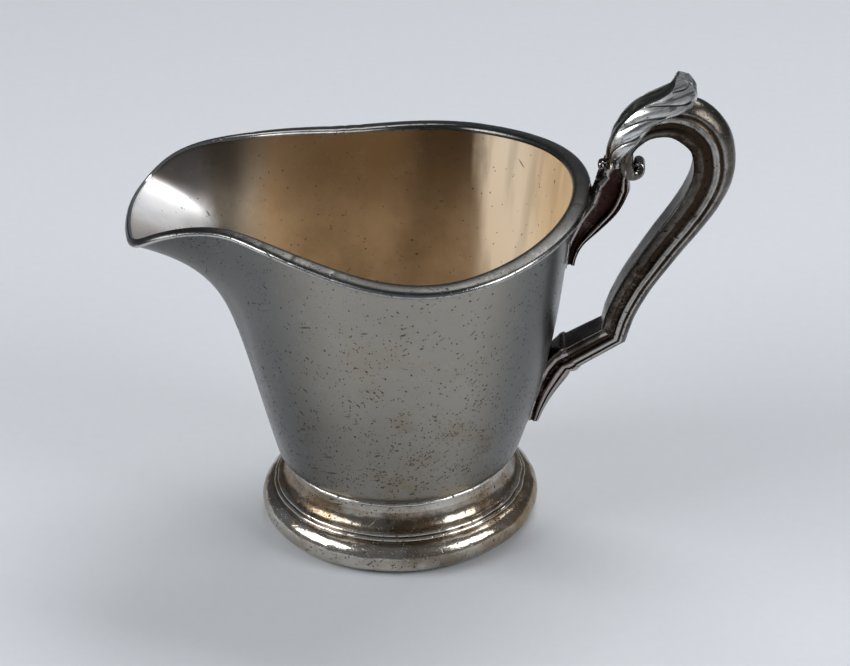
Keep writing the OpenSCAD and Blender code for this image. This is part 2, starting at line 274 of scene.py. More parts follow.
def measure_relief(mesh, shade):
    """Writes how hollow (below 0.5) or raised (above 0.5) each point is, for tarnish and rubbed
    edges. shade is how far each point is kept from rubbing, such as in a flute; on the leaf and
    the arch it also carries painted shade and painted highlights."""
    level_ground, bend_gain, shade_gain, smoothing = 0.5, 0.9, 0.3, 3
    n = len(mesh.vertices)
    co = np.zeros(n * 3)
    no = np.zeros(n * 3)
    mesh.vertices.foreach_get("co", co)
    mesh.vertices.foreach_get("normal", no)
    co, no = co.reshape(-1, 3) / MM, no.reshape(-1, 3)
    ends = np.zeros(len(mesh.edges) * 2, int)
    mesh.edges.foreach_get("vertices", ends)
    i, j = ends.reshape(-1, 2).T
    step = co[j] - co[i]
    size = (step ** 2).sum(1) + TINY
    bend = np.zeros(n)
    count = np.zeros(n) + TINY
    np.add.at(bend, i, (no[i] * step).sum(1) / size)
    np.add.at(bend, j, -(no[j] * step).sum(1) / size)
    np.add.at(count, i, 1)
    np.add.at(count, j, 1)
    bend = -bend / count
    for _ in range(smoothing):
        total = bend.copy()
        np.add.at(total, i, bend[j])
        np.add.at(total, j, bend[i])
        bend = total / (count + 1)
    level = level_ground + bend * bend_gain
    if shade is not None:
        level[:len(shade)] -= shade_gain * shade
    relief = mesh.attributes.new("relief", "FLOAT", "POINT")
    relief.data.foreach_set("value", np.clip(level, 0, 1))


# ------------------------------------------------------------ material tools
def node(tree, kind, settings=None, **sockets):
    """A node with its settings, and with a value or a link in each named socket."""
    made = tree.nodes.new("ShaderNode" + kind)
    for key, value in (settings or {}).items():
        setattr(made, key, value)
    for key, value in sockets.items():
        put(tree, made.inputs[key], value)
    return made


def put(tree, socket, value):
    if isinstance(value, bpy.types.NodeSocket):
        tree.links.new(value, socket)
    else:
        socket.default_value = value


def calc(tree, how, first, *others, clamp=False):
    """A sum worked out from left to right."""
    value = first
    for other in others or (0.0,):
        made = tree.nodes.new("ShaderNodeMath")
        made.operation = how
        made.use_clamp = clamp
        put(tree, made.inputs[0], value)
        put(tree, made.inputs[1], other)
        value = made.outputs[0]
    return value


def plus(tree, *values):
    return calc(tree, "ADD", *values)


def minus(tree, a, b):
    return calc(tree, "SUBTRACT", a, b)


def times(tree, *values):
    return calc(tree, "MULTIPLY", *values)


def most(tree, *values):
    return calc(tree, "MAXIMUM", *values)


def tint(tree, share, a, b, how="MIX"):
    made = node(tree, "Mix", {"data_type": "RGBA", "blend_type": how})
    put(tree, made.inputs[0], share)
    put(tree, made.inputs[6], a)
    put(tree, made.inputs[7], b)
    return made.outputs[2]


def spread(tree, value, low, high, to_low=0.0, to_high=1.0):
    """A soft step, from to_low where the value is low to to_high where it is high."""
    made = node(tree, "MapRange", {"interpolation_type": "SMOOTHSTEP"})
    for i, v in enumerate((value, low, high, to_low, to_high)):
        put(tree, made.inputs[i], v)
    return made.outputs[0]


def mottle(tree, where, scale, detail, rough=0.5):
    """Cloudy value round 0.5, with about that many features in a metre."""
    return node(tree, "TexNoise", Vector=where, Scale=scale, Detail=detail, Roughness=rough).outputs[0]


def cells(tree, where, scale):
    """Distance from the middle of the nearest random cell, and two random values of that cell."""
    made = node(tree, "TexVoronoi", Vector=where, Scale=scale)
    values = node(tree, "SeparateColor", Color=made.outputs["Color"]).outputs
    return made.outputs["Distance"], values[0], values[1]


def drawn_out(tree, where, turn, stretch):
    """The place in a pattern that is turned and then stretched."""
    made = node(tree, "Mapping", {"vector_type": "TEXTURE"}, Vector=where, Rotation=turn, Scale=stretch)
    return made.outputs[0]


def xyz(tree, where):
    """A place's three parts."""
    return node(tree, "SeparateXYZ", Vector=where).outputs[:3]


def new_group(name, values, results):
    """A node group that takes a place and named values, and gives named values."""
    group = bpy.data.node_groups.new(name, "ShaderNodeTree")
    group.interface.new_socket("Vector", in_out="INPUT", socket_type="NodeSocketVector")
    for label, value in values.items():
        socket = group.interface.new_socket(label, in_out="INPUT", socket_type="NodeSocketFloat")
        socket.default_value = value
    for label in results:
        group.interface.new_socket(label, in_out="OUTPUT", socket_type="NodeSocketFloat")
    start, end = group.nodes.new("NodeGroupInput"), group.nodes.new("NodeGroupOutput")
    return group, start.outputs, end.inputs


# --------------------------------------------- marks and tarnish of worn plate
# Pits: cells in a metre, largest size as a share of the cell, share of cells with a pit
PIT_SIZES = ((2000.0, 0.38, 0.55), (1300.0, 0.33, 0.42), (800.0, 0.24, 0.12))
# Nicks and scratches: how the strokes are turned, how long they are drawn, cells in a metre, and
# the share of cells with a nick
NICK_WAYS = (((0.75, 0.0, 0.3), 8.0, 1300.0), ((-0.2, 0.9, 0.0), 14.0, 1500.0),
             ((1.25, 0.5, 0.9), 6.0, 800.0), ((-0.9, -0.4, 0.5), 12.0, 950.0))
SCRATCH_WAYS = (((0.5, 0.2, 0.0), 26.0, 520.0), ((-0.5, 0.9, 0.4), 34.0, 640.0),
                ((1.2, -0.4, 1.0), 22.0, 480.0))
NICKED_CELLS = 0.30
# How far a pit's edge wanders, and a scratch's depth as a share of a pit's
EDGE_WANDER, SCRATCH_DEPTH = 0.45 * MM, 0.25


def pit_marks(tree, where, amount):
    """Fine pits, whose edges wander a little, and a few larger ones."""
    ragged = node(tree, "TexNoise", Vector=where, Scale=2600.0, Detail=2.0).outputs["Color"]
    shift = node(tree, "VectorMath", {"operation": "SCALE"}, Vector=ragged, Scale=EDGE_WANDER)
    moved = node(tree, "VectorMath", {"operation": "ADD"})
    put(tree, moved.inputs[0], where)
    put(tree, moved.inputs[1], shift.outputs[0])
    found = []
    for scale, size, share in PIT_SIZES:
        distance, pick, width = cells(tree, moved.outputs[0], scale)
        pitted = calc(tree, "GREATER_THAN", pick, minus(tree, 1.0, times(tree, amount, share)))
        past_edge = minus(tree, distance, times(tree, width, size))
        found.append(times(tree, spread(tree, past_edge, -0.06, 0.05, 1.0, 0.0), pitted))
    return most(tree, *found)


def nick_marks(tree, where, amount):
    """Short strokes that lie several ways."""
    sound = minus(tree, 1.0, times(tree, amount, NICKED_CELLS))
    found = []
    for turn, length, scale in NICK_WAYS:
        distance, _, pick = cells(tree, drawn_out(tree, where, turn, (1.0, 1.0, length)), scale)
        nicked = calc(tree, "GREATER_THAN", pick, sound)
        found.append(times(tree, spread(tree, distance, 0.10, 0.24, 1.0, 0.0), nicked))
    return most(tree, *found)


def scratch_marks(tree, where, amount):
    """Thin long lines, in patches, where a drawn out pattern crosses its middle value."""
    found = []
    for turn, length, scale in SCRATCH_WAYS:
        field = mottle(tree, drawn_out(tree, where, turn, (1.0, 1.0, length)), scale, 1.0)
        off_middle = calc(tree, "ABSOLUTE", minus(tree, field, 0.5))
        found.append(spread(tree, off_middle, 0.0, 0.022, 1.0, 0.0))
    patch = spread(tree, mottle(tree, where, 160.0, 3.0), 0.46, 0.66)
    return times(tree, most(tree, *found), patch, amount)


def marks_group():
    """Small pits, short nicks and hairline scratches of worn plate."""
    group, given, result = new_group("worn plate marks", {"Pits": 0.5, "Nicks": 0.5, "Scratches": 0.5},
                                     ("Mark", "Scratch", "Height"))
    where = given["Vector"]
    crowd = spread(group, mottle(group, where, 150.0, 4.0, 0.6), 0.38, 0.66, 0.25, 1.35)
    mark = most(group, pit_marks(group, where, times(group, given["Pits"], crowd)),
                nick_marks(group, where, times(group, given["Nicks"], crowd)))
    scratch = scratch_marks(group, where, given["Scratches"])
    depth = plus(group, mark, times(group, scratch, SCRATCH_DEPTH))
    put(group, result["Mark"], mark)
    put(group, result["Scratch"], scratch)
    put(group, result["Height"], minus(group, 1.0, depth))
    return group


def tarnish_group():
    """Where tarnish lies, in hollows and in cloudy patches, and where it is rubbed away."""
    group, given, result = new_group("tarnish", {"Relief": 0.5, "Hollows": 1.0, "Clouds": 0.5, "Size": 60.0},
                                     ("Tarnish", "Rubbed", "Cloud"))
    where = given["Vector"]
    cloud = mottle(group, where, given["Size"], 5.0, 0.62)
    wobble = times(group, minus(group, mottle(group, where, 900.0, 3.0), 0.5), 0.12)
    level = plus(group, given["Relief"], wobble)
    hollow = times(group, spread(group, level, 0.30, 0.50, 1.0, 0.0), given["Hollows"])
    cloudy = times(group, spread(group, cloud, 0.42, 0.72), given["Clouds"])
    put(group, result["Tarnish"], calc(group, "ADD", hollow, cloudy, clamp=True))
    put(group, result["Rubbed"], spread(group, level, 0.58, 0.78))
    put(group, result["Cloud"], cloud)
    return group


MARKS, TARNISH = marks_group(), tarnish_group()
# How strongly each layer shows in the colour, and how much it adds to the roughness
RUBBED_TINT, MARK_TINT, SCRATCH_TINT, PIT_DARKNESS = 0.8, 0.85, 0.35, 0.25
CLOUD_MATT, TARNISH_MATT, RUBBED_MATT, MARK_MATT = 0.22, 0.10, -0.07, 0.2
GRAIN_HEIGHT, CLOUD_HEIGHT = 0.10, 0.35
BUMP_DEPTH = 0.04 * MM


def plate(name, base, dark, bright, rough, pits=0.5, nicks=0.3, scratches=0.4, hollows=1.0, clouds=0.4,
          size=60.0, bump=0.5, dings=0.0, marks_low=False, extra=None):
    """Worn silver plate: base metal colour, tarnish colour, rubbed colour, and how matt it is.
    extra is a piece's own finish, and on some pieces painted light or shade: it gives the new colour,
    added roughness and metal share."""
    material = bpy.data.materials.new(name)
    material.use_nodes = True
    tree = material.node_tree
    shader = tree.nodes["Principled BSDF"].inputs
    where = node(tree, "TexCoord").outputs["Object"]
    relief = node(tree, "Attribute", {"attribute_name": "relief"}).outputs["Fac"]
    if marks_low:
        low = spread(tree, xyz(tree, where)[2], 0.064, 0.022, 0.30, 1.0)
        pits, nicks = times(tree, low, pits), times(tree, low, nicks)
    marks = node(tree, "Group", {"node_tree": MARKS}, Vector=where, Pits=pits, Nicks=nicks,
                 Scratches=scratches).outputs
    tarnish = node(tree, "Group", {"node_tree": TARNISH}, Vector=where, Relief=relief, Hollows=hollows,
                   Clouds=clouds, Size=size).outputs

    colour = tint(tree, tarnish["Tarnish"], base, dark)
    colour = tint(tree, times(tree, tarnish["Rubbed"], RUBBED_TINT), colour, bright)
    shade = spread(tree, mottle(tree, where, 28.0, 3.0), 0.3, 0.7, 0.90, 1.08)
    grey = node(tree, "CombineColor", Red=shade, Green=shade, Blue=shade).outputs[0]
    colour = tint(tree, 1.0, colour, grey, "MULTIPLY")
    matt, metal = 0.0, 1.0
    if extra:
        colour, matt, metal = extra(tree, where, colour)
    pit_colour = tuple(PIT_DARKNESS * c for c in dark[:3]) + (1,)
    colour = tint(tree, times(tree, marks["Mark"], MARK_TINT), colour, pit_colour)
    colour = tint(tree, times(tree, marks["Scratch"], SCRATCH_TINT), colour, bright)
    put(tree, shader["Base Color"], colour)
    put(tree, shader["Metallic"], metal)

    cloud = times(tree, minus(tree, tarnish["Cloud"], 0.5), CLOUD_MATT)
    blur = plus(tree, matt, rough, cloud, times(tree, tarnish["Tarnish"], TARNISH_MATT),
                times(tree, tarnish["Rubbed"], RUBBED_MATT))
    blur = calc(tree, "ADD", blur, times(tree, marks["Mark"], MARK_MATT), clamp=True)
    put(tree, shader["Roughness"], blur)

    grain = mottle(tree, where, 1500.0, 4.0)
    height = plus(tree, marks["Height"], times(tree, grain, GRAIN_HEIGHT),
                  times(tree, tarnish["Cloud"], CLOUD_HEIGHT))
    if dings:
        height = plus(tree, height, times(tree, mottle(tree, where, 520.0, 3.0, 0.55), dings))
    raised = node(tree, "Bump", Strength=bump, Distance=BUMP_DEPTH, Height=height)
    put(tree, shader["Normal"], raised.outputs[0])
    return material


# ------------------------------------------- each piece's own finish and painted light and shade, in metres
YELLOW_STAIN = (0.28, 0.21, 0.13, 1)
PAINTED_END_SHADE = (0.120, 0.124, 0.124, 1)
GOLD_BROWN = (0.30, 0.20, 0.10, 1)
FAR_RIM_PAINTED_SHADE = (0.055, 0.053, 0.050, 1)
VEIN_GREY = (0.10, 0.10, 0.097, 1)
BRIGHT_SILVER = (0.85, 0.85, 0.86, 1)
TROUGH_PAINTED_SHADE = (0.085, 0.062, 0.048, 1)
TROUGH_NEAR_GREY = (0.30, 0.26, 0.22, 1)
LIGHT_TAN = (0.63, 0.535, 0.415, 1)
DEEP_TAN = (0.42, 0.342, 0.255, 1)
WALL_BROWN = (0.165, 0.115, 0.068, 1)
PAINTED_LIGHT_PALE = (0.98, 0.83, 0.63, 1)
PAINTED_LIGHT_HONEY = (0.84, 0.60, 0.34, 1)
CREASE_PAINTED_SHADE = (0.060, 0.050, 0.040, 1)


def stains_and_painted_end_shade(tree, where, colour):
    """Faint yellow-brown stain patches on the bowl's outside, more of them low down, and painted
    shade that darkens the plate towards its two ends."""
    x, _, z = xyz(tree, where)
    patch = spread(tree, mottle(tree, where, 75.0, 5.0, 0.6), 0.50, 0.70)
    low = spread(tree, z, 0.060, 0.018)
    share = times(tree, patch, plus(tree, 0.15, times(tree, low, 0.50)))
    colour = tint(tree, share, colour, YELLOW_STAIN)
    # painted shade: the plate darkens towards the bowl's two ends
    half_length = plus(tree, 0.0208, times(tree, z, 0.19))
    along = calc(tree, "DIVIDE", x, half_length)
    ends = most(tree, spread(tree, along, -0.22, -0.82), spread(tree, along, 0.50, 0.95))
    return tint(tree, times(tree, ends, 0.85), colour, PAINTED_END_SHADE), 0.0, 1.0


def brown_ends(tree, where, colour):
    """The foot keeps a brown-gold tarnish towards the spout's side and the handle's side."""
    out = spread(tree, calc(tree, "ABSOLUTE", xyz(tree, where)[0]), 0.010, 0.026, 0.25, 1.0)
    patch = spread(tree, mottle(tree, where, 110.0, 5.0, 0.65), 0.36, 0.62)
    return tint(tree, times(tree, out, patch, 0.85), colour, GOLD_BROWN), 0.0, 1.0


def painted_far_rim_shade(tree, where, colour):
    """Painted shade: the rim's far side is darker than its near side."""
    far = spread(tree, xyz(tree, where)[1], 0.012, 0.030)
    return tint(tree, times(tree, far, 0.62), colour, FAR_RIM_PAINTED_SHADE), 0.0, 1.0


def vein_streaks(tree, where, colour):
    """Fine dark lines that run along the leaf's veins."""
    along = drawn_out(tree, where, (0.0, -0.45, 0.0), (9.0, 1.0, 1.0))
    lines = spread(tree, mottle(tree, along, 1300.0, 3.0), 0.50, 0.64)
    return tint(tree, times(tree, lines, 0.75), colour, VEIN_GREY), 0.0, 1.0


def silver_trough(tree, colour, y, patch):
    """The pouring trough: bright silver, with painted shade in dark brown at its far edge, and
    brownish grey at its near edge."""
    aside = plus(tree, y, times(tree, patch, 0.004))
    colour = tint(tree, 0.90, colour, BRIGHT_SILVER)
    # painted shade: dark brown at the trough's far edge
    far = times(tree, spread(tree, aside, 0.0110, 0.0170), 0.88)
    colour = tint(tree, far, colour, TROUGH_PAINTED_SHADE)
    # brownish grey towards the trough's near edge
    near = times(tree, spread(tree, aside, 0.0045, -0.0050), 0.66)
    return tint(tree, near, colour, TROUGH_NEAR_GREY)


def warm_inside(tree, where, colour):
    """The bowl's inside: silver in the pouring trough, tan below it, a dark band of painted shade
    along the crease between them, brown under the far rim, and painted light at the handle's end:
    pale, matt and less metallic, in upright streaks."""
    x, y, z = xyz(tree, where)
    patch = mottle(tree, where, 45.0, 5.0, 0.65)
    upright = node(tree, "Mapping", Vector=where, Scale=(1.0, 1.0, 0.06)).outputs[0]
    painted_light_streaks = mottle(tree, upright, 260.0, 3.0)
    tan = tint(tree, spread(tree, patch, 0.32, 0.68), LIGHT_TAN, DEEP_TAN)
    brown = times(tree, spread(tree, z, 0.042, 0.072), spread(tree, y, 0.012, 0.029), 0.93)
    tan = tint(tree, brown, tan, WALL_BROWN)

    # painted light: a pale, matt, less metallic patch at the handle's end, ragged and in upright streaks
    ragged_x = plus(tree, x, plus(tree, times(tree, patch, 0.005), times(tree, painted_light_streaks, 0.006)))
    pale = times(tree, spread(tree, ragged_x, 0.0200, 0.0262), spread(tree, painted_light_streaks, 0.34, 0.58, 0.82, 1.0))
    worn = tint(tree, spread(tree, x, 0.025, 0.035), PAINTED_LIGHT_PALE, PAINTED_LIGHT_HONEY)
    tan = tint(tree, times(tree, pale, 0.97), tan, worn)

    # painted shade: a dark band along the crease
    crease = times(tree, spread(tree, x, -0.026, -0.036), spread(tree, z, 0.046, 0.060))
    tan = tint(tree, times(tree, crease, 0.92), tan, CREASE_PAINTED_SHADE)
    bowed_x = plus(tree, x, times(tree, calc(tree, "ABSOLUTE", y), 0.25), times(tree, patch, 0.006))
    back = spread(tree, bowed_x, -0.0372, -0.0312)
    matt = plus(tree, times(tree, pale, 0.14), times(tree, crease, back, 0.20),
                times(tree, minus(tree, 1.0, back), 0.07))
    metal = minus(tree, 1.0, times(tree, pale, 0.80))
    return tint(tree, back, silver_trough(tree, colour, y, patch), tan), matt, metal


OUTSIDE = plate("bowl outside", (0.350, 0.325, 0.282, 1), (0.22, 0.195, 0.155, 1), (0.62, 0.62, 0.61, 1), 0.30,
                pits=1.3, nicks=2.0, scratches=0.16, clouds=0.30, size=55.0, marks_low=True, extra=stains_and_painted_end_shade)
INSIDE = plate("bowl inside", (0.55, 0.55, 0.55, 1), (0.38, 0.34, 0.28, 1), (0.72, 0.70, 0.66, 1), 0.33,
               pits=0.06, nicks=0.2, scratches=0.12, clouds=0.2, size=70.0, bump=0.4, extra=warm_inside)
RIM = plate("rim border", (0.12, 0.12, 0.117, 1), (0.052, 0.051, 0.048, 1), (0.62, 0.61, 0.59, 1), 0.23,
            nicks=0.6, scratches=0.22, clouds=0.35, size=90.0, extra=painted_far_rim_shade)
FOOT = plate("foot", (0.60, 0.57, 0.51, 1), (0.12, 0.085, 0.055, 1), (0.86, 0.83, 0.77, 1), 0.15,
             pits=0.8, nicks=0.8, scratches=0.7, hollows=0.6, clouds=0.75, size=95.0, bump=0.7, dings=2.2,
             extra=brown_ends)
CAST = plate("cast handle", (0.112, 0.101, 0.087, 1), (0.034, 0.022, 0.014, 1), (0.50, 0.48, 0.445, 1), 0.24,
             pits=0.6, nicks=0.5, clouds=0.85, size=150.0, bump=0.8, dings=1.5)
LEAF = plate("leaf", (0.70, 0.70, 0.68, 1), (0.035, 0.034, 0.032, 1), (0.84, 0.83, 0.81, 1), 0.35,
             pits=0.2, scratches=0.3, clouds=0.35, size=120.0, bump=0.6, extra=vein_streaks)
BRACKET = plate("bracket", (0.030, 0.015, 0.012, 1), (0.012, 0.005, 0.004, 1), (0.50, 0.44, 0.41, 1), 0.17,
                clouds=0.9, size=110.0, bump=1.0)
SOLDER = plate("solder", (0.30, 0.285, 0.26, 1), (0.12, 0.09, 0.07, 1), (0.75, 0.73, 0.70, 1), 0.34,
               pits=0.6, nicks=0.2, scratches=0.1, clouds=0.5, size=160.0, bump=1.2)


# ---------------------------------------------------------------------- bowl
def crowded(n):
    """Angles round the bowl, closer together at the tip."""
    u = 360 * np.arange(n) / n
    return u - 24 * sind(u)


def make_bowl():
    """The drawn sheet: outside from the bottom up to the lip, then the inside back down."""
    around, up, corner_steps, middle = 288, 84, 8, (2, 12, 20)
    a = crowded(around)
    t = np.linspace(0, 1, up)[:, None]
    place, normal, _ = wall_frame(a[None, :], t)
    ease = np.sin(np.pi * t ** 0.8) ** 0.5
    knocks = dents(place, count=46, seed=5, deep=0.10, wide=5.0)
    push = (knocks + 0.05 * soft_noise(place, size=14.0, seed=1)) * ease
    outer = place + normal * push[..., None]
    inner = outer - normal * WALL_T

    def level_ring(r, z):
        return np.stack([-r * cosd(a), -r * sind(a), np.full(around, z)], -1)

    def corner(grow):
        r = CORNER_R + grow
        turns = np.linspace(-90, -WALL_LEAN, corner_steps + 1)[:-1]
        return [level_ring(FLOOR_R + r * cosd(v), FLOOR_Z + CORNER_R + r * sind(v)) for v in turns]

    outside = [level_ring(r, FLOOR_Z) for r in middle] + corner(0) + list(outer)
    inside = list(inner[::-1]) + corner(-WALL_T)[::-1]
    inside += [level_ring(r, FLOOR_Z + WALL_T) for r in middle[::-1]]
    verts, faces = loft(np.array(outside + inside))
    lip_ring = len(outside) - 1
    index = [int(len(f) == 4 and f[0] // around >= lip_ring) for f in faces]
    index[-around:] = [1] * around
    mesh_piece("bowl", (verts, faces), [OUTSIDE, INSIDE], ["body_shell"], 50, index)


# The wire's section: share of the width in from the outer edge, and share of the height
RIM_SECTION = np.array([(0.30, 0.0), (0.16, -0.10), (0.05, 0.02), (0.0, 0.22), (0.01, 0.46), (0.05, 0.68),
                        (0.12, 0.86), (0.22, 0.96), (0.36, 1.0), (0.5, 1.0), (0.64, 0.98), (0.78, 0.93),
                        (0.87, 0.84), (0.94, 0.66), (0.985, 0.42), (1.0, 0.18), (0.99, 0.0), (0.75, 0.0),
                        (0.5, 0.0)])
# The tarnish it keeps: share of the width, kept
RIM_TARNISH = [(0, 0.5), (0.05, 0.1), (0.14, 0.9), (0.86, 0.9), (0.95, 0.2), (1.0, 0.6)]


def make_rim():
    """The border wire, which is wide round the bowl and narrow at the tip, with worn places."""
    around, worn_places, mm_per_degree = 640, 18, 0.65
    a = crowded(around)
    place, normal, rise = wall_frame(a, np.ones(around))
    tip = fade(fold(a), 42, 4)
    width, height, out = mix(4.0, 1.9, tip), mix(1.4, 0.8, tip), mix(2.7, 0.35, tip)
    worn = np.zeros(around)
    for _ in range(worn_places):
        middle = rng.uniform(0, 360)
        gap = np.abs((a - middle + 180) % 360 - 180) * mm_per_degree
        depth, length = rng.uniform(0.02, 0.11), rng.uniform(0.35, 1.3)
        worn += depth * np.exp(-(gap / length) ** 2)
    wave = 0.035 * soft_noise(place, size=9.0, seed=3)
    rings = []
    for across, up in RIM_SECTION:
        top = max(up, 0) ** 2
        lift = up * height - top * worn + top * wave
        rings.append(place + normal * (out - across * width)[:, None] + rise * lift[:, None])
    rings = np.transpose(np.array(rings), (1, 0, 2))
    kept = np.interp(RIM_SECTION[:, 0], *np.array(RIM_TARNISH).T)
    mesh_piece("rim_wire", loft(rings, path_closed=True), [RIM], ["rim_border"], 60,
               shade=np.tile(kept, around))


# ---------------------------------------------------------------------- foot
def make_foot():
    """The spun foot: a big roll, two beads, a hollow sweep up to the neck, and hollow below."""
    around = 512
    roll = arc(26.4, 3.6, 3.6, 3.6, -72, 70, 34)
    beads = arc(26.85, 7.62, 0.52, 0.42, -50, 95, 8) + [(26.55, 8.10)] + arc(26.30, 8.30, 0.34, 0.34, -20, 90, 7)
    sweep = arc(26.25, 14.15, -2.65, -5.45, 88, 0, 25)
    neck = [(23.6, 15.0), (16.6, 15.0), (16.6, 13.8), (22.3, 13.8), (22.4, 13.2)]
    hollow = arc(25.05, 14.1, -2.65, -5.45, 12, 84, 9) + [(25.0, 7.2), (23.5, 5.8), (23.5, 2.2), (24.1, 0.7)]
    outline = [(25.5, 0.0), (27.3, 0.0)] + roll + beads + sweep + neck + hollow

    def push(rings):
        shown = np.clip(axis_distance(rings) - 23.8, 0, 1) * np.clip(rings[..., 2] / 1.5, 0, 1)
        knocks = dents(rings, count=110, seed=8, deep=0.20, wide=1.8)
        waves = 0.06 * soft_noise(rings, size=6.0, seed=5)
        return (knocks + waves + 0.05 * soft_noise(rings, size=2.4, seed=6)) * shown

    rings = revolve(outline, around, push)[::-1]
    kept = [0.4 if 8.9 < z < 12.5 and r > 23 else 0 for r, z in outline[::-1]]
    mesh_piece("foot", loft(rings, path_closed=True), [FOOT], ["foot_pedestal"], 42,
               shade=np.repeat(kept, around))


def make_seam():
    """The uneven solder bead between the bowl and the neck."""
    neck_r, around = 23.6, 360

    def push(rings):
        out = np.clip(axis_distance(rings) - neck_r, 0, 1)
        return out * (0.22 * soft_noise(rings, size=4.5, seed=9) + 0.10 * soft_noise(rings, size=1.6, seed=4))

    outline = [(neck_r, 15.0)] + arc(neck_r, 14.45, 0.77, 0.55, 62, -90, 10)
    rings = revolve(outline, around, push)[::-1]
    mesh_piece("foot_seam", loft(rings, path_closed=True), [SOLDER], ["foot_seam_solder"], 60)


# -------------------------------------------------------------------- handle
# Path rows are [x, z, depth, width]
BAR = [(47.0, 83.2, 5.0, 6.4), (47.3, 86.3, 5.2, 6.7), (49.0, 89.6, 5.6, 7.0), (52.6, 92.6, 6.2, 7.4),
       (57.6, 94.1, 8.0, 7.7), (62.2, 92.9, 9.2, 8.0), (65.7, 89.2, 9.0, 8.0), (66.8, 84.5, 8.8, 8.0),
       (66.4, 80.0, 8.6, 7.9), (64.3, 75.0, 8.2, 7.8), (61.3, 70.2, 7.8, 7.7), (58.0, 65.6, 7.5, 7.6),
       (54.6, 60.6, 7.2, 7.5), (51.4, 55.6, 6.9, 7.4), (48.9, 50.8, 6.6, 7.4), (47.5, 47.4, 6.4, 7.4)]
ELBOW, ARM_END = (46.4, 43.3, 6.0, 7.5), (37.7, 38.1, 6.3, 8.4)
# Half outline of the bar, [depth share, half width share], from its flat inner face to its outer ridge
BAR_SECTION = [(-0.50, 0.0), (-0.50, 0.40), (-0.50, 0.76), (-0.492, 0.82), (-0.47, 0.86), (-0.44, 0.90),
               (-0.40, 0.935), (-0.36, 0.957), (-0.31, 0.962), (-0.27, 0.945), (-0.235, 0.91), (-0.21, 0.88),
               (-0.185, 0.868), (-0.15, 0.862), (-0.115, 0.866), (-0.085, 0.885), (-0.055, 0.92),
               (-0.025, 0.965), (0.01, 0.993), (0.05, 1.0), (0.09, 0.99), (0.12, 0.955), (0.143, 0.905),
               (0.163, 0.878), (0.185, 0.885), (0.215, 0.908), (0.255, 0.905), (0.295, 0.868), (0.34, 0.79),
               (0.39, 0.67), (0.43, 0.54), (0.465, 0.39), (0.49, 0.21), (0.50, 0.0)]
# The tarnish kept at each depth share, round the arch and down the bar. Round the arch the main
# rib and the outer roll keep less, partly rubbed wear and partly painted highlight
ARCH_TARNISH_AND_HIGHLIGHT = [(-0.50, 0.9), (-0.44, 0.9), (-0.38, 0.7), (-0.28, 0.6), (-0.22, 0.9), (-0.09, 0.8), (-0.04, 0.2),
                (0.0, -0.15), (0.10, 0.0), (0.15, 0.8), (0.19, 0.8), (0.23, 0.2), (0.30, 0.0), (0.40, -0.1),
                (0.50, 0.1)]
BAR_TARNISH = [(-0.50, 0.5), (-0.44, 0.3), (-0.40, 0.6), (-0.28, 0.75), (-0.12, 0.9), (-0.05, 0.5), (0.0, 0.05),
               (0.10, 0.1), (0.15, 0.8), (0.19, 0.8), (0.23, 0.2), (0.30, 0.3), (0.40, 0.4), (0.50, 0.2)]


def make_scroll():
    """The fluted bar: round the arch, down to the elbow and along the arm."""
    row_steps, arch_rows, blend_rows = 12, 84, 30
    bar = catmull(BAR, row_steps)
    to_elbow = straight(BAR[-1], ELBOW, 6)[1:]
    path = np.vstack([bar, to_elbow, straight(ELBOW, ARM_END, 14), [ARM_END]])
    half = finer(BAR_SECTION, 2)
    rings = casting_rings(path, half)
    knocks = dents(rings, count=70, seed=21, deep=0.07, wide=1.4)
    push = knocks + 0.05 * soft_noise(rings, size=1.6, seed=31)
    rings[..., 1] += push * np.sign(rings[..., 1])
    rows, points = rings.shape[:2]
    below_arch = np.clip((np.arange(rows) - arch_rows) / blend_rows, 0, 1).repeat(points)
    shade = mix(ring_shade(half, ARCH_TARNISH_AND_HIGHLIGHT, rows), ring_shade(half, BAR_TARNISH, rows), below_arch)
    mesh_piece("scroll", loft(rings), [CAST], ["handle_scroll"], 34, shade=shade)


# The scroll's curled end, from the bar round to its free end
CURL = [(48.75, 87.4, 2.8, 5.6), (48.65, 85.3, 3.0, 6.1), (48.65, 83.4, 3.1, 6.4), (49.1, 81.95, 2.9, 6.4),
        (50.15, 81.2, 2.3, 6.1), (51.3, 81.5, 2.0, 5.3), (51.75, 82.4, 1.8, 4.6), (51.5, 83.1, 1.5, 4.0),
        (51.0, 83.25, 1.2, 3.6), (50.8, 82.8, 1.0, 3.3)]
BAND_SECTION = [(0.50, 0.0), (0.50, 0.70), (0.47, 0.86), (0.38, 0.96), (0.20, 1.0), (-0.20, 1.0), (-0.38, 0.96),
                (-0.47, 0.86), (-0.50, 0.70), (-0.50, 0.0)]


def make_volute():
    """A flat band that winds in under the arch and narrows to its free end."""
    rings = casting_rings(catmull(CURL, 8), finer(BAND_SECTION, 2))
    mesh_piece("scroll_curl", loft(rings), [CAST], [], 40, shade=even_shade(rings, 0.45))


